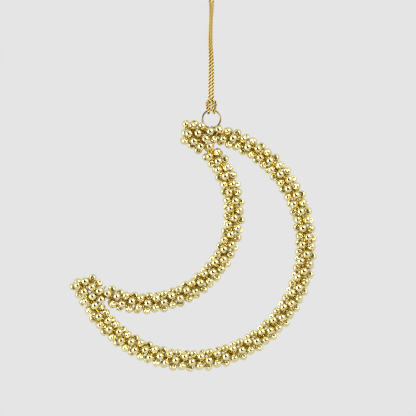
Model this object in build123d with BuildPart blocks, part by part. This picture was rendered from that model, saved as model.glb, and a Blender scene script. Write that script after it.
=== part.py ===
from build123d import *
import os
from math import acos, cos, hypot, pi, radians, sin, sqrt, tan

# Beaded crescent ornament on a doubled cord, in millimetres.
# +X to the right, +Y away from the viewer, +Z up, origin where a hook carries the cord.

# Beads and the fine wire that strings them
bead_diameter = 4.16
bead_bore = 1.1
bore_edge = 0.16
string_diameter = 0.4
bead_gap = 0.1
string_gap = 0.25

# The two bent frame wires, measured on their centrelines
frame_wire_diameter = 2.64
outer_radius = 57.5
inner_radius = 45.2
centre_distance = 28.7
opening_angle = 145.2
wire_gap = 0.1
tip_cut = 2.2
lap_blend = 2.0
braze_depth = 1.6

# Winding of the beads round the wires. The gap between turns is less than none where the beads nest
winding_clearance = 0.15
outer_runs = [
    ("outer_upper", 2.5, 0.12, 4.587),
    ("outer_belly", 89.6, 0.12, 4.500),
    ("outer_lower", 180.0, -0.07, 4.542),
]
inner_mark_angle = 1.9
inner_mark_turn = -75.4
inner_runs = [
    ("inner_upper", 25.3, 0.10, 4.570),
    ("inner_lower", 180.0, -0.05, 4.567),
]
tip_slack = 0.2
tip_first_reach = 1.0
lower_tip_reach = 17.5
tip_turn_gap = 0.14
tip_bead_gap = 0.15
ring_turn_gap = 0.9
lower_tip_turn = 0.4
slide_step = 0.1
slide_most = 1.6
arc_start_reach = 13.0

# Jump ring and the bare stretch of string that it hangs on
ring_outer_diameter = 9.8
ring_wire_diameter = 0.8
ring_split = 0.1
ring_split_angle = 35.0
ring_angle = 9.8
ring_play = 0.2
ring_clearance = 0.25
ring_swing = 12.0
bail_height = 3.1
bail_half_length = 0.6
bail_bead_travel = 5.6
bail_next_turn = 128.0

# Cord
cord_diameter = 1.3
strand_half_spacing = 0.75
hang_length = 70.0
hitch_clearance = 0.3
wrap_turns = 3
wrap_gap = 0.5
wrap_clearance = 0.15
wrap_base = 4.9
cord_run_share = 0.45

back = Vector(0, 1, 0)
up = Vector(0, 0, 1)

bead_radius = bead_diameter / 2
winding_radius = frame_wire_diameter / 2 + winding_clearance + bead_radius
tip_winding_radius = winding_radius + tip_slack
wire_half_spacing = (frame_wire_diameter + wire_gap) / 2
ring_radius = (ring_outer_diameter - ring_wire_diameter) / 2
ring_bore_radius = ring_radius - ring_wire_diameter / 2
ring_centre = Vector(0, 0, -hang_length)
bail_drop = ring_bore_radius - string_diameter / 2 - ring_play
bail_point = ring_centre - up * bail_drop


class Arc:
    """A frame wire's centreline. Angles are radians clockwise from +X, seen from the front."""

    def __init__(self, centre, radius, first, last):
        self.centre = centre
        self.radius = radius
        self.first = first
        self.last = last

    def radial(self, angle):
        return Vector(cos(angle), 0, -sin(angle))

    def along(self, angle):
        return Vector(-sin(angle), 0, -cos(angle))

    def point(self, angle):
        return self.centre + self.radial(angle) * self.radius


# The circles of the two arcs meet at the tips
ring_seat_angle = radians(ring_angle) - pi / 2
seat_side = Vector(cos(ring_seat_angle), 0, -sin(ring_seat_angle))
outer_centre = bail_point - seat_side * (outer_radius + bail_height)
opening = -radians(opening_angle)
inner_centre = outer_centre + Vector(cos(opening), 0, -sin(opening)) * centre_distance
tip_depth = (centre_distance**2 + outer_radius**2 - inner_radius**2) / (2 * centre_distance)
outer_half_angle = acos(tip_depth / outer_radius)
inner_half_angle = acos((tip_depth - centre_distance) / inner_radius)
outer_arc = Arc(outer_centre, outer_radius, opening + outer_half_angle, opening - outer_half_angle + 2 * pi)
inner_arc = Arc(inner_centre, inner_radius, opening + inner_half_angle, opening - inner_half_angle + 2 * pi)


class Tip:
    """Where the two wires come together. A reach is measured along them from where their circles meet."""

    def __init__(self, upper):
        self.upper = upper
        low, high = 0.0, outer_radius
        while high - low > 1e-6:
            middle = (low + high) / 2
            if self.spread(middle)[3] < wire_half_spacing:
                low = middle
            else:
                high = middle
        self.lap_reach = high

    def angles(self, reach):
        if self.upper:
            return outer_arc.first + reach / outer_radius, inner_arc.first + reach / inner_radius
        return outer_arc.last - reach / outer_radius, inner_arc.last - reach / inner_radius

    def spread(self, reach):
        outer_angle, inner_angle = self.angles(reach)
        outer_point = outer_arc.point(outer_angle)
        inner_point = inner_arc.point(inner_angle)
        heading = outer_arc.along(outer_angle) + inner_arc.along(inner_angle)
        along = heading.normalized() * (1 if self.upper else -1)
        half = (outer_point - inner_point).length / 2
        cross = outer_arc.radial(outer_angle) + inner_arc.radial(inner_angle)
        return (outer_point + inner_point) / 2, cross.normalized(), along, half

    def frame(self, reach):
        # Short of the lap the wires run straight, side by side
        if reach >= self.lap_reach:
            return self.spread(reach)
        middle, cross, along, _ = self.spread(self.lap_reach)
        return middle + along * (reach - self.lap_reach), cross, along, wire_half_spacing

    def lap_point(self, reach, side):
        middle, cross, along, half = self.frame(reach)
        return middle + cross * (half * side)


upper_tip = Tip(True)
lower_tip = Tip(False)
ring_reach = (ring_seat_angle - outer_arc.first) * outer_radius


class Place:
    """One bead: its centre and the way its bore points."""

    def __init__(self, centre, heading):
        self.centre = centre
        self.heading = heading.normalized()

    def knots(self):
        mouth = self.heading * bead_radius
        return [(self.centre - mouth, self.heading), (self.centre + mouth, self.heading)]


def arc_place(arc, angle, turn, pitch):
    radial = arc.radial(angle)
    outward = radial * sin(turn) - back * cos(turn)
    sideways = radial * cos(turn) + back * sin(turn)
    advance = (1 + winding_radius * sin(turn) / arc.radius) * pitch / (2 * pi)
    heading = sideways * winding_radius + arc.along(angle) * advance
    return Place(arc.point(angle) + outward * winding_radius, heading)


def tip_turn_length(half):
    return 2 * pi * tip_winding_radius + 4 * half


def tip_place(tip, reach, turn):
    # Turns count from the outer side of the outer wire, over the back, round the inner wire and forward
    middle, cross, along, half = tip.frame(reach)
    quarter = pi * tip_winding_radius / 2
    length = tip_turn_length(half)
    travel = (turn % 1) * length
    hub = half
    if travel < quarter:
        angle = travel / tip_winding_radius
    elif travel < quarter + 2 * half:
        angle = pi / 2
        hub = half - (travel - quarter)
    elif travel < 3 * quarter + 2 * half:
        angle = (travel - 2 * half) / tip_winding_radius
        hub = -half
    elif travel < 3 * quarter + 4 * half:
        angle = 3 * pi / 2
        hub = travel - 3 * quarter - 3 * half
    else:
        angle = (travel - 4 * half) / tip_winding_radius
    outward = cross * cos(angle) + back * sin(angle)
    sideways = back * cos(angle) - cross * sin(angle)
    side = 1 if tip.upper else -1
    heading = sideways * length + along * (side * (bead_diameter + tip_turn_gap))
    return Place(middle + cross * hub + outward * tip_winding_radius, heading)


def ring_gap(point):
    # Least distance from a point to the ring's centreline, over the crescent's swing
    gaps = []
    for swing in (-ring_swing, 0, ring_swing):
        lean = radians(swing)
        centre = bail_point + Vector(sin(lean), 0, cos(lean)) * bail_drop
        offset = point - centre
        gaps.append(hypot(hypot(offset.X, offset.Z) - ring_radius, offset.Y))
    return min(gaps)


def clear_of_ring(place):
    return ring_gap(place.centre) >= bead_radius + ring_wire_diameter / 2 + ring_clearance


def clear_of(place, others):
    return all((place.centre - other.centre).length >= bead_diameter + bead_gap for other in others)


def wind_tip(tip, last_reach, turn, way, first_travel, placed):
    # Wound from its last reach to the tip's end. A bead that would meet the ring or another bead slides on
    reach = last_reach
    travel = first_travel
    wound = []
    while True:
        length = tip_turn_length(tip.frame(reach)[3])
        near_ring = tip.upper and ring_reach - reach < bead_diameter + ring_turn_gap
        pitch = bead_diameter + (ring_turn_gap if near_ring else tip_turn_gap)
        turn += way * travel / length
        reach -= pitch * travel / length
        if reach < tip_first_reach:
            return wound
        place = tip_place(tip, reach, turn)
        travel = slide_step
        if clear_of_ring(place) and clear_of(place, placed):
            wound.append((reach, turn, place))
            placed.append(place)
            travel = bead_diameter + tip_bead_gap


def split_at_ring(tip, wound):
    # Two strands meet at the ring, where a bead has slid furthest on
    def travel(number):
        (_, last_turn, _), (reach, turn, _) = wound[number - 1], wound[number]
        return (turn - last_turn) * tip_turn_length(tip.frame(reach)[3])

    split = max(range(1, len(wound)), key=travel)
    return wound[:split], wound[split:]


def tip_knots(tip, wound):
    # The string keeps to its turn where the next bead stands further off
    knots = []
    for number, (reach, turn, place) in enumerate(wound):
        if number:
            last_reach, last_turn, _ = wound[number - 1]
            length = tip_turn_length(tip.frame(reach)[3])
            if (turn - last_turn) * length > 1.5 * (bead_diameter + tip_bead_gap):
                guide = tip_place(tip, (reach + last_reach) / 2, (turn + last_turn) / 2)
                knots.append((guide.centre, guide.heading))
        knots += place.knots()
    return knots


# Winding round both wires at the tips. The upper one starts beside the bare stretch that the ring hangs on
upper_places = []
upper_wound = wind_tip(upper_tip, ring_reach, 0, -1, bail_bead_travel, upper_places)[::-1]
upper_wound, lead_wound = split_at_ring(upper_tip, upper_wound)
lower_places = []
lower_wound = wind_tip(lower_tip, lower_tip_reach, lower_tip_turn, 1, 0, lower_places)
tip_places = upper_places + lower_places

bail_start = bail_point - back * bail_half_length
bail_end = bail_point + back * bail_half_length


def arc_runs(arc, angle, turn, runs):
    # Beads follow one another from a first place to the lower tip
    last = arc.last - arc_start_reach / arc.radius
    wound = []
    for name, end, gap, beads_per_turn in runs:
        pitch = bead_diameter + gap
        end_angle = min(radians(end), last)
        places = []
        while angle <= end_angle:
            places.append(arc_place(arc, angle, turn, pitch))
            angle += pitch / (beads_per_turn * arc.radius)
            turn += 2 * pi / beads_per_turn
        wound.append((name, places))
    return wound


# The outer winding follows on over the bare stretch, the inner one through a marked bead
next_turn = radians(bail_next_turn)
next_angle = ring_seat_angle + (bead_diameter + outer_runs[0][2]) * next_turn / (2 * pi * outer_radius)
outer_wound = arc_runs(outer_arc, next_angle, pi / 2 + next_turn, outer_runs)
_, _, inner_gap, inner_beads_per_turn = inner_runs[0]
inner_step = (bead_diameter + inner_gap) / (inner_beads_per_turn * inner_radius)
inner_first = inner_arc.first + arc_start_reach / inner_radius
steps_back = int((radians(inner_mark_angle) - inner_first) / inner_step)
inner_angle = radians(inner_mark_angle) - steps_back * inner_step
inner_turn = radians(inner_mark_turn) - steps_back * 2 * pi / inner_beads_per_turn
inner_wound = arc_runs(inner_arc, inner_angle, inner_turn, inner_runs)


string_reach = bead_radius + string_diameter / 2 + string_gap


def string_is_clear(point, beads):
    return all((point - other.centre).length >= string_reach for other in beads)


def trim_to_tips(wound, beads):
    # A string starts and ends where it is clear of the beads wound round the tips
    trimmed = []
    for name, places in wound:
        start = len(places) // 2
        end = start
        while start > 0:
            before, here = places[start - 1].centre, places[start].centre
            if not (string_is_clear(before, beads) and string_is_clear((before + here) / 2, beads)):
                break
            start -= 1
        while end < len(places) - 1:
            here, after = places[end].centre, places[end + 1].centre
            if not (string_is_clear(after, beads) and string_is_clear((here + after) / 2, beads)):
                break
            end += 1
        trimmed.append((name, places[start : end + 1]))
    return trimmed


def string_points(wound):
    points = []
    for _, places in wound:
        for place, after in zip(places, places[1:]):
            points += [place.centre, (place.centre + after.centre) / 2]
        points.append(places[-1].centre)
    return points


def clear_of_string(place, points):
    return all((place.centre - point).length >= string_reach for point in points)


first_name, first_places = outer_wound[0]
outer_wound = [(first_name, first_places)] + trim_to_tips(outer_wound[1:], lower_places)
inner_wound = trim_to_tips(inner_wound, tip_places)


def draw_between(start, start_heading, end, end_heading):
    # Two arcs that meet smoothly, or a straight run where both ends are in line with it
    chord = end - start
    if start_heading.get_angle(chord) + end_heading.get_angle(chord) < 0.01:
        Line(start, end)
        return
    lean = 1 - start_heading.dot(end_heading)
    reach = chord.dot(start_heading + end_heading)
    if lean < 1e-9:
        handle = chord.dot(chord) / (2 * reach)
    else:
        handle = (sqrt(reach**2 + 2 * lean * chord.dot(chord)) - reach) / (2 * lean)
    start_handle = start + start_heading * handle
    end_handle = end - end_heading * handle
    joint = (start_handle + end_handle) / 2
    TangentArc(start, joint, tangent=start_heading)
    TangentArc(joint, end, tangent=end_handle - start_handle)


def least_gap(path, diameter, loop_length):
    # Least clear space of a wound tube to itself, on points spread along it
    count = int(path.length / diameter)
    points = [path.position_at(number / count) for number in range(count + 1)]
    apart = int(count * loop_length / path.length)
    gaps = []
    for number, point in enumerate(points):
        for other in points[number + apart :]:
            gaps.append((point - other).length - diameter)
    return min(gaps)


os.makedirs("parts", exist_ok=True)


def keep(part, name):
    part.label = name
    export_step(part, f"parts/{name}.step")


def make_string(name, knots):
    with BuildPart() as string:
        with BuildLine() as run:
            for (start, start_heading), (end, end_heading) in zip(knots, knots[1:]):
                draw_between(start, start_heading, end, end_heading)
        path = run.wires()[0]
        with BuildSketch(Plane(path @ 0, z_dir=path % 0)):
            Circle(string_diameter / 2)
        sweep(path=path)
    keep(string.part, name)
    print(name, "least gap to itself", round(least_gap(path, string_diameter, pi * winding_radius), 2))


with BuildPart() as bead:
    Sphere(bead_radius)
    Cylinder(bead_bore / 2, bead_diameter, mode=Mode.SUBTRACT)
    fillet(bead.edges().filter_by(GeomType.CIRCLE), bore_edge)


def make_beads(name, places):
    with BuildPart() as group:
        with Locations(*[Plane(place.centre, z_dir=place.heading) for place in places]):
            add(bead.part)
    keep(group.part, name)
    print(name, len(places))


def is_clear(place, others, points):
    return clear_of_ring(place) and clear_of(place, others) and clear_of_string(place, points)


def slid_place(place, others, points):
    for number in range(1, int(slide_most / slide_step) + 1):
        for way in (1, -1):
            spot = Place(place.centre + place.heading * (way * number * slide_step), place.heading)
            if is_clear(spot, others, points):
                return spot
    return None


def settle(places, others, points):
    # A bead in the way of the ring or of another strand slides along its string, or is left off it
    settled = [place if is_clear(place, others, points) else None for place in places]
    for number, place in enumerate(places):
        if not settled[number]:
            own = [spot for spot in settled if spot]
            settled[number] = slid_place(place, own + others, points)
    return settled


def make_strand(name, places, settled, lead_knots, lead_places):
    # No string stands out past its beads
    beads = [spot for spot in settled if spot]
    first = 0 if lead_knots else settled.index(beads[0])
    last = settled.index(beads[-1])
    knots = []
    for place, spot in list(zip(places, settled))[first : last + 1]:
        knots += spot.knots() if spot else [(place.centre, place.heading)]
    make_string(f"{name}_string", lead_knots + knots)
    make_beads(f"{name}_beads", lead_places + beads)


# Strands on the two arcs. The first one starts in the turn before the bare stretch
lead_knots = tip_knots(upper_tip, lead_wound) + [(bail_start, back), (bail_end, back)]
lead_places = [place for _, _, place in lead_wound]
inner_points = string_points(inner_wound)
outer_points = string_points(outer_wound)
outer_kept = []
for number, (name, places) in enumerate(outer_wound):
    settled = settle(places, tip_places + outer_kept[-20:], inner_points)
    outer_kept += [spot for spot in settled if spot]
    if number == 0:
        make_strand(name, places, settled, lead_knots, lead_places)
    else:
        make_strand(name, places, settled, [], [])
for name, places in inner_wound:
    make_strand(name, places, settle(places, tip_places + outer_kept, outer_points), [], [])

# Strands round both wires at the tips
make_string("upper_tip_string", tip_knots(upper_tip, upper_wound))
make_beads("upper_tip_beads", [place for _, _, place in upper_wound])
make_string("lower_tip_string", tip_knots(lower_tip, lower_wound))
make_beads("lower_tip_beads", lower_places)


def make_frame_wire(name, arc, side):
    # A straight lap at each end, blended into the arc
    ends = []
    for tip in (upper_tip, lower_tip):
        _, _, along, _ = tip.frame(0)
        lap_end = tip.lap_point(tip.lap_reach - lap_blend, side)
        angle = tip.angles(tip.lap_reach + lap_blend)[0 if side > 0 else 1]
        ends.append((tip.lap_point(tip_cut, side), lap_end, along, angle))
    (first, first_lap, first_along, first_angle), (last, last_lap, last_along, last_angle) = ends
    middle_angle = (first_angle + last_angle) / 2
    with BuildPart() as wire:
        with BuildLine() as run:
            Line(first, first_lap)
            draw_between(first_lap, first_along, arc.point(first_angle), arc.along(first_angle))
            ThreePointArc(arc.point(first_angle), arc.point(middle_angle), arc.point(last_angle))
            draw_between(arc.point(last_angle), arc.along(last_angle), last_lap, -last_along)
            Line(last_lap, last)
        path = run.wires()[0]
        with BuildSketch(Plane(path @ 0, z_dir=path % 0)):
            Circle(frame_wire_diameter / 2)
        sweep(path=path)
    keep(wire.part, name)


make_frame_wire("outer_frame_wire", outer_arc, 1)
make_frame_wire("inner_frame_wire", inner_arc, -1)

# Brazed joints that fill the groove between the two wires at the laps
for name, tip in (("upper_tip_braze", upper_tip), ("lower_tip_braze", lower_tip)):
    middle, cross, along, half = tip.frame(tip_cut)
    braze_length = tip.lap_reach - lap_blend - tip_cut
    with BuildPart() as braze:
        with BuildSketch(Plane(middle, x_dir=cross, z_dir=along)):
            Rectangle(2 * half, braze_depth)
            with Locations((-half, 0), (half, 0)):
                Circle(frame_wire_diameter / 2, mode=Mode.SUBTRACT)
        extrude(amount=braze_length)
    keep(braze.part, name)

# Jump ring, closed but for its cut
with BuildPart() as hanging_ring:
    split_turn = 360 * ring_split / (2 * pi * ring_radius)
    split_side = Vector(cos(radians(ring_split_angle)), 0, sin(radians(ring_split_angle)))
    split_point = ring_centre + split_side * ring_radius
    with BuildSketch(Plane(split_point, x_dir=split_side, z_dir=split_side.cross(back))):
        Circle(ring_wire_diameter / 2)
    revolve(axis=Axis(ring_centre, back), revolution_arc=360 - split_turn)
keep(hanging_ring.part, "hanging_ring")


def cord_radii(points):
    # Each bend is as large as its two runs allow
    radii = []
    for before, corner, after in zip(points, points[1:], points[2:]):
        inward = Vector(*corner) - Vector(*before)
        outward = Vector(*after) - Vector(*corner)
        half_turn = radians(inward.get_angle(outward)) / 2
        radii.append(cord_run_share * min(inward.length, outward.length) / tan(half_turn))
    return radii


def make_cord(name, points):
    radii = cord_radii(points)
    with BuildPart() as cord:
        with BuildLine() as run:
            FilletPolyline(*points, radius=radii)
        path = run.wires()[0]
        with BuildSketch(Plane(path @ 0, z_dir=path % 0)):
            Circle(cord_diameter / 2)
        sweep(path=path)
    keep(cord.part, name)
    section = pi * cord_diameter**2 / 4
    print(name, "radii", [round(radius, 1) for radius in radii])
    share = cord.part.volume / section / path.length
    print(name, "length", round(path.length, 1), "volume share", round(share, 4))


# Lark's head: points from the ring's top, where each pass goes round the ring's wire
ring_top = ring_centre.Z + ring_radius
pass_reach = ring_wire_diameter / 2 + hitch_clearance + cord_diameter / 2
back_reach = pass_reach + 0.25
left_pass = 1.5
right_pass = 1.2
left_under = sqrt(ring_radius**2 - left_pass**2) - ring_radius - pass_reach
right_under = sqrt(ring_radius**2 - right_pass**2) - ring_radius - pass_reach
hitch_top = 6.5
hitch_points = [
    (-0.95, 0.35, hitch_top),
    (-0.95, 0.35, 4.0),
    (-1.05, -pass_reach, 1.2),
    (-left_pass, -pass_reach, left_under),
    (-left_pass, back_reach, left_under),
    (-2.20, back_reach, 1.5),
    (-2.50, 0.30, 3.3),
    (-1.70, -1.15, 4.6),
    (1.30, -1.15, 4.65),
    (2.15, 0.30, 3.3),
    (1.85, back_reach, 1.5),
    (right_pass, back_reach, right_under),
    (right_pass, -pass_reach, right_under),
    (0.75, -pass_reach, 1.2),
    (0.60, 0.35, 4.0),
    (0.60, 0.35, hitch_top),
]
make_cord("cord_hitch", [(x, y, ring_top + z) for x, y, z in hitch_points])

# The two strands, from the hitch up past the hook to their cut ends
strand_foot = ring_top + hitch_top
left_points = [
    (-0.95, 0.35, strand_foot),
    (-0.95, 0.35, -55.0),
    (-0.80, 0.45, -47.0),
    (-0.75, 0.50, -39.0),
    (-1.05, 0.55, -31.0),
    (-0.75, 0.75, -23.5),
    (-0.45, 0.65, -16.0),
    (-0.80, 0.45, -10.0),
    (-2.20, 0.20, -5.0),
    (-2.25, 0.05, -0.5),
    (-0.75, 0.00, 4.0),
    (-0.72, 0.00, 10.5),
    (-1.70, -0.20, 16.0),
]
right_points = [
    (0.60, 0.35, strand_foot),
    (0.60, 0.35, -55.0),
    (0.62, 0.00, -47.0),
    (0.50, -0.25, -39.0),
    (-0.12, -0.60, -31.0),
    (-0.05, -0.55, -23.5),
    (0.40, -0.55, -16.0),
    (0.80, -0.45, -10.0),
    (2.20, -0.20, -5.0),
    (2.25, -0.05, -0.5),
    (0.75, 0.00, 4.0),
    (0.72, 0.00, 10.5),
    (1.60, 0.20, 15.0),
]
make_cord("cord_strand_left", left_points)
make_cord("cord_strand_right", right_points)

# Wrapped knot round both strands
wrap_pitch = cord_diameter + wrap_gap
wrap_radius = strand_half_spacing + cord_diameter + wrap_clearance
with BuildPart() as cord_wrap:
    with BuildLine() as wrap_run:
        turns = [number / 4 for number in range(4 * wrap_turns + 1)]
        knots = []
        for turn in turns:
            angle = 2 * pi * turn
            spot = Vector(wrap_radius * cos(angle), wrap_radius * sin(angle), wrap_base + wrap_pitch * turn)
            heading = Vector(-sin(angle), cos(angle), wrap_pitch / (2 * pi * wrap_radius))
            knots.append((spot, heading.normalized()))
        for (start, start_heading), (end, end_heading) in zip(knots, knots[1:]):
            draw_between(start, start_heading, end, end_heading)
    wrap_path = wrap_run.wires()[0]
    with BuildSketch(Plane(wrap_path @ 0, z_dir=wrap_path % 0)):
        Circle(cord_diameter / 2)
    sweep(path=wrap_path)
keep(cord_wrap.part, "cord_wrap")
print("cord_wrap least gap to itself", round(least_gap(wrap_path, cord_diameter, pi * wrap_radius), 2))
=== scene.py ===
import bpy
import bmesh
import math
import numpy as np
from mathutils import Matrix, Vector


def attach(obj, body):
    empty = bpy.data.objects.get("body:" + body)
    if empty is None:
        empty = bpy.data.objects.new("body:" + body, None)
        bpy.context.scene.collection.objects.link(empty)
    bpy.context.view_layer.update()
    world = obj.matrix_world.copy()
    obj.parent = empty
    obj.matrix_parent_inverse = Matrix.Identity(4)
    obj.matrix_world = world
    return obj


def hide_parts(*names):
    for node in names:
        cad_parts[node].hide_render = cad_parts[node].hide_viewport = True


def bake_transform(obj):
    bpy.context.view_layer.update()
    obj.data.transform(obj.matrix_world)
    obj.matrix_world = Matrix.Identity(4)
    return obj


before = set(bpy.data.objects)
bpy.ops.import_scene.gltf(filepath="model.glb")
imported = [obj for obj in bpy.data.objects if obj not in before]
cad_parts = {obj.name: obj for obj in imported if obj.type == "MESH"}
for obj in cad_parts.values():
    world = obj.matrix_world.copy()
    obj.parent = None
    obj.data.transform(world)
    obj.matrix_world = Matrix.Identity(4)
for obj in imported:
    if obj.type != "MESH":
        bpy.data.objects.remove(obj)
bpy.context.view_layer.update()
scene = bpy.context.scene
scene.view_settings.view_transform = "Standard"
mm = 0.001
fullTurn = 2 * math.pi
print("frame loaded,", len(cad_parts), "nodes")


def hexColour(text):  # sRGB hex to linear RGBA
    channels = [int(text[i:i + 2], 16) / 255 for i in (1, 3, 5)]
    linear = [c / 12.92 if c <= 0.04045 else ((c + 0.055) / 1.055) ** 2.4 for c in channels]
    return (*linear, 1.0)


def addNode(tree, kind, inputs=None, **settings):
    node = tree.nodes.new(kind)
    for name, value in settings.items():
        setattr(node, name, value)
    for name, value in (inputs or {}).items():
        if isinstance(value, bpy.types.NodeSocket):
            tree.links.new(value, node.inputs[name])
        else:
            node.inputs[name].default_value = value
    return node


def newMaterial(name):
    material = bpy.data.materials.new(name)
    material.use_nodes = True
    tree = material.node_tree
    tree.nodes.clear()
    return material, tree


# Camera: square on to the flat crescent, long lens, 208 mm across at the cord's plane
cameraSet = {
    "centre": (-1.75 * mm, -114.55 * mm),
    "frameWidth": 208 * mm,
    "lens": 135,
    "sensor": 36,
    "nearest": 0.01,
}
cameraData = bpy.data.cameras.new("photoCamera")
cameraData.lens = cameraSet["lens"]
cameraData.sensor_width = cameraSet["sensor"]
cameraData.clip_start = cameraSet["nearest"]
camera = bpy.data.objects.new("photoCamera", cameraData)
distance = cameraSet["frameWidth"] * cameraSet["lens"] / cameraSet["sensor"]
camera.location = (cameraSet["centre"][0], -distance, cameraSet["centre"][1])
camera.rotation_euler = (math.pi / 2, 0, 0)
scene.collection.objects.link(camera)
scene.camera = camera
print("camera at", [round(v, 4) for v in camera.location])

# Metallised acrylic: balls vacuum coated with a gold film under clear lacquer, which makes them
# near mirrors with a pale warm tint
beadFinish = {
    "pale": "#F3E8B4", "deep": "#EBDC9E",
    "roughness": 0.09, "worn": 0.16,
    "hazeSize": 0.8 * mm, "hazeEdge": (0.45, 0.75), "rippleDepth": 0.1 * mm,
    "lacquer": 0.25, "lacquerRoughness": 0.04,
}
beadGold, tree = newMaterial("metallisedAcrylicGold")
spot = addNode(tree, "ShaderNodeTexCoord")
tone = addNode(tree, "ShaderNodeAttribute", attribute_name="beadTone")
film = addNode(tree, "ShaderNodeMix", {
    "Factor": tone.outputs["Fac"],
    "A": hexColour(beadFinish["pale"]),
    "B": hexColour(beadFinish["deep"]),
}, data_type="RGBA")
haze = addNode(tree, "ShaderNodeTexNoise", {
    "Vector": spot.outputs["Object"],
    "Scale": 1 / beadFinish["hazeSize"],
    "Detail": 3.0,
    "Roughness": 0.6,
})
dull = addNode(tree, "ShaderNodeMapRange", {
    "Value": haze.outputs["Fac"],
    "From Min": beadFinish["hazeEdge"][0],
    "From Max": beadFinish["hazeEdge"][1],
    "To Min": beadFinish["roughness"],
    "To Max": beadFinish["worn"],
})
ripple = addNode(tree, "ShaderNodeBump", {
    "Height": haze.outputs["Fac"],
    "Strength": 0.03,
    "Distance": beadFinish["rippleDepth"],
})
skin = addNode(tree, "ShaderNodeBsdfPrincipled", {
    "Base Color": film.outputs["Result"],
    "Metallic": 1.0,
    "Roughness": dull.outputs["Result"],
    "Normal": ripple.outputs["Normal"],
    "Coat Weight": beadFinish["lacquer"],
    "Coat Roughness": beadFinish["lacquerRoughness"],
})
addNode(tree, "ShaderNodeOutputMaterial", {"Surface": skin.outputs["BSDF"]})


def grainedBrass(name, finish):  # brass with a fine uneven grain in its tint and gloss
    material, tree = newMaterial(name)
    spot = addNode(tree, "ShaderNodeTexCoord")
    grain = addNode(tree, "ShaderNodeTexNoise", {
        "Vector": spot.outputs["Object"],
        "Scale": 1 / finish["grainSize"],
        "Detail": 4.0,
        "Roughness": 0.65,
    })
    tint = addNode(tree, "ShaderNodeMix", {
        "Factor": grain.outputs["Fac"],
        "A": hexColour(finish["dark"]),
        "B": hexColour(finish["light"]),
    }, data_type="RGBA")
    gloss = addNode(tree, "ShaderNodeMapRange", {
        "Value": grain.outputs["Fac"],
        "To Min": finish["roughness"] * 0.7,
        "To Max": finish["roughness"] * 1.4,
    })
    relief = addNode(tree, "ShaderNodeBump", {
        "Height": grain.outputs["Fac"],
        "Strength": 0.12,
        "Distance": 0.05 * mm,
    })
    metal = addNode(tree, "ShaderNodeBsdfPrincipled", {
        "Base Color": tint.outputs["Result"],
        "Metallic": 1.0,
        "Roughness": gloss.outputs["Result"],
        "Normal": relief.outputs["Normal"],
    })
    addNode(tree, "ShaderNodeOutputMaterial", {"Surface": metal.outputs["BSDF"]})
    return material


# Drawn brass: the die leaves the core wires with a satin gloss that glows warm between the beads
wireFinish = {"light": "#D2B050", "dark": "#A0842C", "roughness": 0.3, "grainSize": 0.35 * mm}
frameBrass = grainedBrass("drawnBrassFrameWire", wireFinish)
# Bright drawn brass: the thin stringing wire is smoother and paler, so its bare loops glint
stringFinish = {"light": "#E2CA74", "dark": "#BC9C48", "roughness": 0.2, "grainSize": 0.2 * mm}
stringBrass = grainedBrass("brightBrassStringingWire", stringFinish)
# Brazing brass left as it ran: duller and browner than the wires it joins
brazeFinish = {"light": "#A87E34", "dark": "#6E4E1C", "roughness": 0.45, "grainSize": 0.5 * mm}
brazeBrass = grainedBrass("runBrazingBrass", brazeFinish)
# Polished brass jump ring: its dark olive tone and its dark and pale streaks, laid on by the grain noise,
# are painted reflection of the room
ringPaintedReflectionFinish = {"light": "#BCA864", "dark": "#6A5A26", "roughness": 0.16, "grainSize": 0.6 * mm}
ringBrass = grainedBrass("brassJumpRingPaintedReflection", ringPaintedReflectionFinish)

# Twisted metallised yarn: narrow gold foil wound round a core, two plies laid up into a cord that
# glints on each ply's crest; the dark colour towards each ply's inner side is painted shade in the grooves
cordFinish = {
    # the groove colour is painted shade for the grooves between the plies
    "foil": "#FFEC94", "wound": "#ECBE40", "groove": "#4C3804",
    "grooveEdge": (0.76, 0.97),
    "wrapPitch": 0.42 * mm, "wrapShare": 0.25, "fibreSize": 0.4 * mm, "wrapDepth": 0.05 * mm,
    "metallic": 0.6, "roughness": 0.4,
}
cordGold, tree = newMaterial("twistedMetallisedYarn")
along = addNode(tree, "ShaderNodeAttribute", attribute_name="plyAlong")
crest = addNode(tree, "ShaderNodeAttribute", attribute_name="plyCrest")
spot = addNode(tree, "ShaderNodeTexCoord")
turns = addNode(tree, "ShaderNodeMath", {
    0: along.outputs["Fac"],
    1: fullTurn / cordFinish["wrapPitch"],
}, operation="MULTIPLY")
wraps = addNode(tree, "ShaderNodeMath", {0: turns.outputs["Value"]}, operation="SINE")
fibre = addNode(tree, "ShaderNodeTexNoise", {
    "Vector": spot.outputs["Object"],
    "Scale": 1 / cordFinish["fibreSize"],
    "Detail": 3.0,
    "Roughness": 0.6,
})
weave = addNode(tree, "ShaderNodeMath", {
    0: wraps.outputs["Value"],
    1: cordFinish["wrapShare"],
    2: fibre.outputs["Fac"],
}, operation="MULTIPLY_ADD")
gleam = addNode(tree, "ShaderNodeMix", {
    "Factor": weave.outputs["Value"],
    "A": hexColour(cordFinish["wound"]),
    "B": hexColour(cordFinish["foil"]),
}, data_type="RGBA", clamp_factor=True)
# painted groove shade: darkens each ply towards the cord's core, where the grooves between the plies lie
grooveShadeMask = addNode(tree, "ShaderNodeMapRange", {
    "Value": crest.outputs["Fac"],
    "From Min": cordFinish["grooveEdge"][0],
    "From Max": cordFinish["grooveEdge"][1],
}, interpolation_type="SMOOTHSTEP")
tint = addNode(tree, "ShaderNodeMix", {
    "Factor": grooveShadeMask.outputs["Result"],
    "A": hexColour(cordFinish["groove"]),
    "B": gleam.outputs["Result"],
}, data_type="RGBA")
ridge = addNode(tree, "ShaderNodeBump", {
    "Height": weave.outputs["Value"],
    "Strength": 0.35,
    "Distance": cordFinish["wrapDepth"],
})
yarn = addNode(tree, "ShaderNodeBsdfPrincipled", {
    "Base Color": tint.outputs["Result"],
    "Metallic": cordFinish["metallic"],
    "Roughness": cordFinish["roughness"],
    "Normal": ridge.outputs["Normal"],
})
addNode(tree, "ShaderNodeOutputMaterial", {"Surface": yarn.outputs["BSDF"]})
print("materials made")

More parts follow.
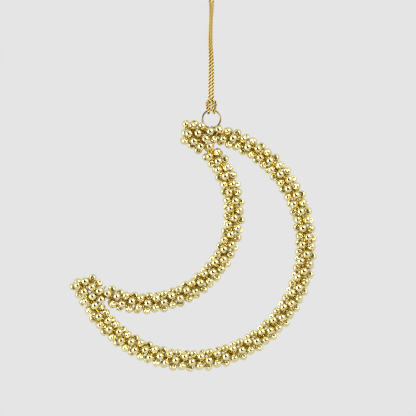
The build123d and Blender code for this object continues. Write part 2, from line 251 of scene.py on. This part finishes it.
# Cord: routes in millimetres, from the ring's top for the hitch and from the hook for the strands
ringTop = -65.5
hitchSet = {
    "diameter": 1.45 * mm,
    "length": 37.9 * mm,
    "top": 6.5,
    "points": [
        (-0.95, 0.35, 6.5), (-0.95, 0.35, 4.0), (-0.92, -1.35, 1.2), (-1.50, -1.35, -1.61),
        (-1.50, 1.60, -1.61), (-2.20, 1.60, 1.5), (-2.50, 0.30, 3.3), (-1.70, -1.15, 4.6),
        (1.30, -1.15, 4.65), (2.15, 0.30, 3.3), (1.85, 1.60, 1.5), (1.20, 1.60, -1.51),
        (1.20, -1.35, -1.51), (0.62, -1.35, 1.2), (0.60, 0.35, 4.0), (0.60, 0.35, 6.5),
    ],
}
strandFoot = ringTop + hitchSet["top"]
strandSet = {
    "diameter": 1.45 * mm,
    "leftLength": 75.4 * mm,
    "rightLength": 74.5 * mm,
    "left": [
        (-0.95, 0.35, strandFoot), (-0.95, 0.35, -55.0), (-0.80, 0.45, -47.0), (-0.75, 0.50, -39.0),
        (-1.05, 0.55, -31.0), (-0.75, 0.75, -23.5), (-0.45, 0.65, -16.0), (-0.80, 0.45, -10.0),
        (-2.20, 0.20, -5.0), (-2.25, 0.05, -0.5), (-0.75, 0.00, 4.0), (-0.72, 0.00, 10.5),
        (-1.70, -0.20, 16.0),
    ],
    "right": [
        (0.60, 0.35, strandFoot), (0.60, 0.35, -55.0), (0.62, 0.00, -47.0), (0.50, -0.25, -39.0),
        (-0.12, -0.60, -31.0), (-0.05, -0.55, -23.5), (0.40, -0.55, -16.0), (0.80, -0.45, -10.0),
        (2.20, -0.20, -5.0), (2.25, -0.05, -0.5), (0.75, 0.00, 4.0), (0.72, 0.00, 10.5),
        (1.60, 0.20, 15.0),
    ],
}
wrapSet = {
    "turns": 3,
    "pointsPerTurn": 12,
    "radius": 2.2,
    "pitch": 1.8,
    "base": 4.9,
    "diameter": 1.4 * mm,
}
# The real plies turn once in 2.87 mm: too fine to show in the render, so drawn at 3.4 mm
plySet = {
    "plies": 2,
    "lay": 3.4 * mm,
    "step": 0.2 * mm,
    "sides": 8,
    "share": 0.275,  # ply radius as a share of the cord's diameter, a little flat against each other
    "phase": 0.4,
}


def routeCurve(name, points):  # open NURBS line led by a route's control points
    data = bpy.data.curves.new(name, "CURVE")
    data.dimensions = "3D"
    data.resolution_u = 12
    line = data.splines.new("NURBS")
    line.points.add(len(points) - 1)
    for control, point in zip(line.points, points):
        control.co = (point[0] * mm, point[1] * mm, point[2] * mm, 1)
    line.order_u = 3
    line.use_endpoint_u = True
    curve = bpy.data.objects.new(name, data)
    scene.collection.objects.link(curve)
    return curve


def routePoints(curve):
    mesh = bpy.data.meshes.new_from_object(curve)
    points = [tuple(v.co) for v in mesh.vertices]
    bpy.data.meshes.remove(mesh)
    return points


def layTree():  # plies wound round a route, with their length along it and their crests kept for the finish
    tree = bpy.data.node_groups.new("laidCord", "GeometryNodeTree")
    sizes = tree.interface
    sizes.new_socket("Geometry", in_out="INPUT", socket_type="NodeSocketGeometry")
    for name in ("Diameter", "Lay", "Step", "Phase"):
        sizes.new_socket(name, in_out="INPUT", socket_type="NodeSocketFloat")
    sizes.new_socket("Sides", in_out="INPUT", socket_type="NodeSocketInt")
    sizes.new_socket("Finish", in_out="INPUT", socket_type="NodeSocketMaterial")
    sizes.new_socket("Geometry", in_out="OUTPUT", socket_type="NodeSocketGeometry")
    given = addNode(tree, "NodeGroupInput").outputs
    even = addNode(tree, "GeometryNodeResampleCurve", {
        "Curve": given["Geometry"],
        "Length": given["Step"],
    }, mode="LENGTH")
    reach = addNode(tree, "GeometryNodeSplineParameter")
    turn = addNode(tree, "ShaderNodeMath", {
        0: reach.outputs["Length"],
        1: given["Lay"],
    }, operation="DIVIDE")
    angle = addNode(tree, "ShaderNodeMath", {
        0: turn.outputs["Value"],
        1: fullTurn,
        2: given["Phase"],
    }, operation="MULTIPLY_ADD")
    place = addNode(tree, "GeometryNodeInputPosition")
    heading = addNode(tree, "GeometryNodeInputTangent")
    side = addNode(tree, "GeometryNodeInputNormal")
    across = addNode(tree, "ShaderNodeVectorMath", {
        0: heading.outputs["Tangent"],
        1: side.outputs["Normal"],
    }, operation="CROSS_PRODUCT")
    plyRadius = addNode(tree, "ShaderNodeMath", {
        0: given["Diameter"],
        1: plySet["share"],
    }, operation="MULTIPLY")
    cordRadius = addNode(tree, "ShaderNodeMath", {0: given["Diameter"], 1: 0.5}, operation="MULTIPLY")
    swing = addNode(tree, "ShaderNodeMath", {
        0: cordRadius.outputs["Value"],
        1: plyRadius.outputs["Value"],
    }, operation="SUBTRACT")
    ring = addNode(tree, "GeometryNodeCurvePrimitiveCircle", {
        "Resolution": given["Sides"],
        "Radius": plyRadius.outputs["Value"],
    }, mode="RADIUS")
    joined = addNode(tree, "GeometryNodeJoinGeometry")
    for number in range(plySet["plies"]):
        own = addNode(tree, "ShaderNodeMath", {
            0: angle.outputs["Value"],
            1: fullTurn * number / plySet["plies"],
        })
        cosine = addNode(tree, "ShaderNodeMath", {0: own.outputs["Value"]}, operation="COSINE")
        sine = addNode(tree, "ShaderNodeMath", {0: own.outputs["Value"]}, operation="SINE")
        first = addNode(tree, "ShaderNodeVectorMath", {
            0: side.outputs["Normal"],
            "Scale": cosine.outputs["Value"],
        }, operation="SCALE")
        second = addNode(tree, "ShaderNodeVectorMath", {
            0: across.outputs["Vector"],
            "Scale": sine.outputs["Value"],
        }, operation="SCALE")
        out = addNode(tree, "ShaderNodeVectorMath", {
            0: first.outputs["Vector"],
            1: second.outputs["Vector"],
        })
        offset = addNode(tree, "ShaderNodeVectorMath", {
            0: out.outputs["Vector"],
            "Scale": swing.outputs["Value"],
        }, operation="SCALE")
        kept = addNode(tree, "GeometryNodeStoreNamedAttribute", {
            "Geometry": even.outputs["Curve"],
            "Name": "plyAlong",
            "Value": reach.outputs["Length"],
        }, data_type="FLOAT")
        cored = addNode(tree, "GeometryNodeStoreNamedAttribute", {
            "Geometry": kept.outputs["Geometry"],
            "Name": "core",
            "Value": place.outputs["Position"],
        }, data_type="FLOAT_VECTOR")
        wound = addNode(tree, "GeometryNodeSetPosition", {
            "Geometry": cored.outputs["Geometry"],
            "Offset": offset.outputs["Vector"],
        })
        tube = addNode(tree, "GeometryNodeCurveToMesh", {
            "Curve": wound.outputs["Geometry"],
            "Profile Curve": ring.outputs["Curve"],
            "Fill Caps": True,
        })
        tree.links.new(tube.outputs["Mesh"], joined.inputs["Geometry"])
    smooth = addNode(tree, "GeometryNodeSetShadeSmooth", {"Geometry": joined.outputs["Geometry"]})
    core = addNode(tree, "GeometryNodeInputNamedAttribute", {"Name": "core"}, data_type="FLOAT_VECTOR")
    away = addNode(tree, "ShaderNodeVectorMath", {
        0: place.outputs["Position"],
        1: core.outputs["Attribute"],
    }, operation="DISTANCE")
    crest = addNode(tree, "ShaderNodeMath", {
        0: away.outputs["Value"],
        1: cordRadius.outputs["Value"],
    }, operation="DIVIDE")
    # plyCrest feeds the painted shade in the grooves of the yarn finish
    crested = addNode(tree, "GeometryNodeStoreNamedAttribute", {
        "Geometry": smooth.outputs["Geometry"],
        "Name": "plyCrest",
        "Value": crest.outputs["Value"],
    }, data_type="FLOAT")
    real = addNode(tree, "GeometryNodeRealizeInstances", {"Geometry": crested.outputs["Geometry"]})
    faced = addNode(tree, "GeometryNodeSetMaterial", {
        "Geometry": real.outputs["Geometry"],
        "Material": given["Finish"],
    })
    addNode(tree, "NodeGroupOutput", {"Geometry": faced.outputs["Geometry"]})
    return tree


laidCord = layTree()


def plainMesh(name, source, tree, values):  # runs a tree on an object and keeps the result as a plain mesh
    modifier = source.modifiers.new("make", "NODES")
    modifier.node_group = tree
    for item in tree.interface.items_tree:
        if item.in_out == "INPUT" and item.name in values:
            modifier[item.identifier] = values[item.name]
    bpy.context.view_layer.update()
    made = source.evaluated_get(bpy.context.evaluated_depsgraph_get())
    mesh = bpy.data.meshes.new_from_object(made)
    bpy.data.objects.remove(source)
    mesh.name = name
    piece = bpy.data.objects.new(name, mesh)
    scene.collection.objects.link(piece)
    return piece


def laidPiece(name, points, diameter, phase):
    curve = routeCurve(name + "Route", points)
    route = routePoints(curve)
    piece = plainMesh(name, curve, laidCord, {
        "Diameter": diameter,
        "Lay": plySet["lay"],
        "Step": plySet["step"],
        "Phase": phase,
        "Sides": plySet["sides"],
        "Finish": cordGold,
    })
    return piece, route


wrapPoints = []
for number in range(wrapSet["pointsPerTurn"] * wrapSet["turns"] + 1):
    angle = fullTurn * number / wrapSet["pointsPerTurn"]
    rise = wrapSet["pitch"] * number / wrapSet["pointsPerTurn"]
    wrapPoints.append((wrapSet["radius"] * math.cos(angle), wrapSet["radius"] * math.sin(angle),
                       wrapSet["base"] + rise))
cordWrap, _ = laidPiece("cordWrap", wrapPoints, wrapSet["diameter"], 0.0)
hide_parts("cord_wrap")
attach(cordWrap, "cord_top")

for side, node in (("left", "cord_strand_left"), ("right", "cord_strand_right")):
    strand, route = laidPiece("cordStrand" + side.capitalize(), strandSet[side],
                              strandSet["diameter"], plySet["phase"])
    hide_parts(node)
    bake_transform(strand)

hitchRoute = [(x, y, ringTop + z) for x, y, z in hitchSet["points"]]
hitch, route = laidPiece("cordHitch", hitchRoute, hitchSet["diameter"], plySet["phase"])
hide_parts("cord_hitch")
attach(hitch, "hitch")
print("cord laid")

# Beads: one drilled ball of few faces, set at its own string's bead places and turned to its bore
beadSet = {
    "radius": 2.13 * mm,  # to the corners, so that the faceted ball is as large as the round one
    "bore": 0.55 * mm,
    "lip": 0.66 * mm,
    "depth": 0.9 * mm,
    "sides": 10,
    "bands": 4,
    "inside": 0.97,  # share of the radius under which a CAD point belongs to the bore
    "merge": 0.001 * mm,
    "seed": 11,
}


def drilledBall():
    ball = bmesh.new()
    lip = math.asin(beadSet["lip"] / beadSet["radius"])
    profile = [(beadSet["bore"], beadSet["depth"])]
    for number in range(beadSet["bands"] + 1):
        polar = lip + (math.pi - 2 * lip) * number / beadSet["bands"]
        profile.append((beadSet["radius"] * math.sin(polar), beadSet["radius"] * math.cos(polar)))
    profile.append((beadSet["bore"], -beadSet["depth"]))
    rings = []
    for across, height in profile:
        ring = []
        for number in range(beadSet["sides"]):
            angle = fullTurn * number / beadSet["sides"]
            ring.append(ball.verts.new((across * math.cos(angle), across * math.sin(angle), height)))
        rings.append(ring)
    for upper, lower in zip(rings, rings[1:]):
        for number in range(beadSet["sides"]):
            after = (number + 1) % beadSet["sides"]
            ball.faces.new((upper[number], lower[number], lower[after], upper[after]))
    for face in ball.faces:
        face.smooth = True
    ball.faces.new(rings[0])  # flat floors of the two bore ends
    ball.faces.new(rings[-1][::-1])
    bmesh.ops.recalc_face_normals(ball, faces=ball.faces)
    mesh = bpy.data.meshes.new("drilledBall")
    ball.to_mesh(mesh)
    ball.free()
    master = bpy.data.objects.new("drilledBall", mesh)
    scene.collection.objects.link(master)
    return master


def beadPlaces(node):  # centre and bore direction of every ball in a bead node
    loose = bmesh.new()
    loose.from_mesh(node.data)
    bmesh.ops.remove_doubles(loose, verts=loose.verts, dist=beadSet["merge"])
    loose.verts.index_update()
    loose.faces.index_update()
    seen = set()
    places = []
    for start in loose.verts:
        if start.index in seen:
            continue
        seen.add(start.index)
        stack, members = [start], []
        while stack:
            vert = stack.pop()
            members.append(vert)
            for edge in vert.link_edges:
                other = edge.other_vert(vert)
                if other.index not in seen:
                    seen.add(other.index)
                    stack.append(other)
        touched = {face for vert in members for face in vert.link_faces}
        faces = sorted(touched, key=lambda face: face.index)  # one order, so every run gives the same sum
        area = sum(face.calc_area() for face in faces)
        centre = sum((face.calc_center_median() * face.calc_area() for face in faces), Vector()) / area
        inner = np.array([vert.co - centre for vert in members])
        inner = inner[np.linalg.norm(inner, axis=1) < beadSet["inside"] * beadSet["radius"]]
        bore = np.linalg.svd(inner, full_matrices=False)[2][0]
        if bore[np.abs(bore).argmax()] < 0:
            bore = -bore
        places.append((centre, Vector(bore)))
    loose.free()
    return places


def beadTree():  # a ball on every bead place, spun by chance round its bore and toned a little
    tree = bpy.data.node_groups.new("strungBeads", "GeometryNodeTree")
    sizes = tree.interface
    sizes.new_socket("Geometry", in_out="INPUT", socket_type="NodeSocketGeometry")
    sizes.new_socket("Ball", in_out="INPUT", socket_type="NodeSocketObject")
    sizes.new_socket("Seed", in_out="INPUT", socket_type="NodeSocketInt")
    sizes.new_socket("Finish", in_out="INPUT", socket_type="NodeSocketMaterial")
    sizes.new_socket("Geometry", in_out="OUTPUT", socket_type="NodeSocketGeometry")
    given = addNode(tree, "NodeGroupInput").outputs
    ball = addNode(tree, "GeometryNodeObjectInfo", {"Object": given["Ball"]})
    bore = addNode(tree, "GeometryNodeInputNamedAttribute", {"Name": "bore"}, data_type="FLOAT_VECTOR")
    turned = addNode(tree, "FunctionNodeAlignRotationToVector", {
        "Vector": bore.outputs["Attribute"],
    }, axis="Z")
    chance = addNode(tree, "FunctionNodeRandomValue", {"Seed": given["Seed"]}, data_type="FLOAT")
    spun = addNode(tree, "FunctionNodeAxisAngleToRotation", {"Angle": chance.outputs[1]})
    facing = addNode(tree, "FunctionNodeRotateRotation", {
        "Rotation": turned.outputs["Rotation"],
        "Rotate By": spun.outputs["Rotation"],
    }, rotation_space="LOCAL")
    toned = addNode(tree, "GeometryNodeStoreNamedAttribute", {
        "Geometry": given["Geometry"],
        "Name": "beadTone",
        "Value": chance.outputs[1],
    }, data_type="FLOAT")
    strung = addNode(tree, "GeometryNodeInstanceOnPoints", {
        "Points": toned.outputs["Geometry"],
        "Instance": ball.outputs["Geometry"],
        "Rotation": facing.outputs["Rotation"],
    })
    real = addNode(tree, "GeometryNodeRealizeInstances", {"Geometry": strung.outputs["Instances"]})
    faced = addNode(tree, "GeometryNodeSetMaterial", {
        "Geometry": real.outputs["Geometry"],
        "Material": given["Finish"],
    })
    addNode(tree, "NodeGroupOutput", {"Geometry": faced.outputs["Geometry"]})
    return tree


master = drilledBall()
strungBeads = beadTree()
strands = ["outer_upper", "outer_belly", "outer_lower", "inner_upper", "inner_lower",
           "upper_tip", "lower_tip"]
for number, strandName in enumerate(strands):
    places = beadPlaces(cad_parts[strandName + "_beads"])
    mesh = bpy.data.meshes.new(strandName + "Places")
    mesh.from_pydata([centre for centre, bore in places], [], [])
    bores = mesh.attributes.new("bore", "FLOAT_VECTOR", "POINT")
    bores.data.foreach_set("vector", [value for centre, bore in places for value in bore])
    holder = bpy.data.objects.new(strandName + "Places", mesh)
    scene.collection.objects.link(holder)
    first, second = strandName.split("_")
    beads = plainMesh(first + second.capitalize() + "Beads", holder, strungBeads,
                      {"Ball": master, "Seed": beadSet["seed"] + number, "Finish": beadGold})
    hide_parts(strandName + "_beads")
    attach(beads, "crescent")
    print(strandName, "has", len(places), "beads")
bpy.data.objects.remove(master)

# Metal pieces that keep their CAD shape
metalPieces = {
    "outer_frame_wire": frameBrass,
    "inner_frame_wire": frameBrass,
    "upper_tip_braze": brazeBrass,
    "lower_tip_braze": brazeBrass,
    "hanging_ring": ringBrass,
}
metalPieces.update({strandName + "_string": stringBrass for strandName in strands})
for nodeName, material in metalPieces.items():
    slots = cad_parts[nodeName].data.materials
    slots.clear()
    slots.append(material)
print("metal dressed")

# Matte white paper: a floor well below the crescent that fades out into the background
floorSet = {"level": -0.275, "radius": 0.42, "colour": "#EDEDED", "fade": (0.3, 0.98), "corners": 64}
floorPaper, tree = newMaterial("matteWhitePaper")
spot = addNode(tree, "ShaderNodeTexCoord")
away = addNode(tree, "ShaderNodeVectorMath", {0: spot.outputs["Object"]}, operation="LENGTH")
fade = addNode(tree, "ShaderNodeMapRange", {
    "Value": away.outputs["Value"],
    "From Min": floorSet["fade"][0] * floorSet["radius"],
    "From Max": floorSet["fade"][1] * floorSet["radius"],
}, interpolation_type="SMOOTHSTEP")
paper = addNode(tree, "ShaderNodeBsdfDiffuse", {"Color": hexColour(floorSet["colour"])})
clear = addNode(tree, "ShaderNodeBsdfTransparent")
sheet = addNode(tree, "ShaderNodeMixShader", {
    0: fade.outputs["Result"],
    1: paper.outputs["BSDF"],
    2: clear.outputs["BSDF"],
})
addNode(tree, "ShaderNodeOutputMaterial", {"Surface": sheet.outputs["Shader"]})
disc = bmesh.new()
bmesh.ops.create_circle(disc, cap_ends=True, radius=floorSet["radius"], segments=floorSet["corners"])
floorMesh = bpy.data.meshes.new("paleFloor")
disc.to_mesh(floorMesh)
disc.free()
floorMesh.materials.append(floorPaper)
floor = bpy.data.objects.new("paleFloor", floorMesh)
floor.location = (0, 0, floorSet["level"])
scene.collection.objects.link(floor)

# Studio: pale walls all round, a dark camera place and a table in front, one large soft box high
# on the right and a narrow one on the left
lightSet = {
    "background": "#E5E5E5",
    "walls": "#E4E3D8",
    "room": "#1C180A", "roomTowards": (-0.12, -0.99, 0.02), "roomEdge": (0.68, 0.92),
    "table": "#74744E", "tableTowards": (0.05, -0.84, -0.54), "tableEdge": (0.7, 0.95),
    "ambient": 0.55,
    "keyPlace": (0.42, -0.52, 0.28), "keySize": (0.6, 0.6), "keyPower": 3.6,
    "sidePlace": (-0.55, -0.34, -0.16), "sideSize": (0.16, 0.5), "sidePower": 3.0,
}
world = bpy.data.worlds.new("paleStudio")
scene.world = world
world.use_nodes = True
tree = world.node_tree
tree.nodes.clear()
rays = addNode(tree, "ShaderNodeLightPath")
look = addNode(tree, "ShaderNodeTexCoord")
seen = None
for thing in ("table", "room"):
    towards = addNode(tree, "ShaderNodeVectorMath", {
        0: look.outputs["Generated"],
        1: lightSet[thing + "Towards"],
    }, operation="DOT_PRODUCT")
    dim = addNode(tree, "ShaderNodeMapRange", {
        "Value": towards.outputs["Value"],
        "From Min": lightSet[thing + "Edge"][0],
        "From Max": lightSet[thing + "Edge"][1],
    }, interpolation_type="SMOOTHSTEP")
    seen = addNode(tree, "ShaderNodeMix", {
        "Factor": dim.outputs["Result"],
        "A": seen.outputs["Result"] if seen else hexColour(lightSet["walls"]),
        "B": hexColour(lightSet[thing]),
    }, data_type="RGBA")
mirrored = addNode(tree, "ShaderNodeMath", {
    0: rays.outputs["Is Glossy Ray"],
    1: rays.outputs["Is Transmission Ray"],
}, operation="MAXIMUM")
backdrop = addNode(tree, "ShaderNodeBackground", {"Color": hexColour(lightSet["background"])})
studio = addNode(tree, "ShaderNodeBackground", {"Color": seen.outputs["Result"]})
glow = addNode(tree, "ShaderNodeBackground", {
    "Color": hexColour("#FFFFFF"),
    "Strength": lightSet["ambient"],
})
lit = addNode(tree, "ShaderNodeMixShader", {
    0: mirrored.outputs["Value"],
    1: glow.outputs["Background"],
    2: studio.outputs["Background"],
})
shown = addNode(tree, "ShaderNodeMixShader", {
    0: rays.outputs["Is Camera Ray"],
    1: lit.outputs["Shader"],
    2: backdrop.outputs["Background"],
})
addNode(tree, "ShaderNodeOutputWorld", {"Surface": shown.outputs["Shader"]})


def softBox(name, place, size, power):
    data = bpy.data.lights.new(name, "AREA")
    data.shape = "RECTANGLE"
    data.size, data.size_y = size
    data.energy = power
    lamp = bpy.data.objects.new(name, data)
    lamp.location = place
    aim = Vector((cameraSet["centre"][0], 0, cameraSet["centre"][1])) - Vector(place)
    lamp.rotation_euler = aim.to_track_quat("-Z", "Y").to_euler()
    lamp.visible_camera = False
    scene.collection.objects.link(lamp)


softBox("keySoftBox", lightSet["keyPlace"], lightSet["keySize"], lightSet["keyPower"])
softBox("sideSoftBox", lightSet["sidePlace"], lightSet["sideSize"], lightSet["sidePower"])
print("studio lit")
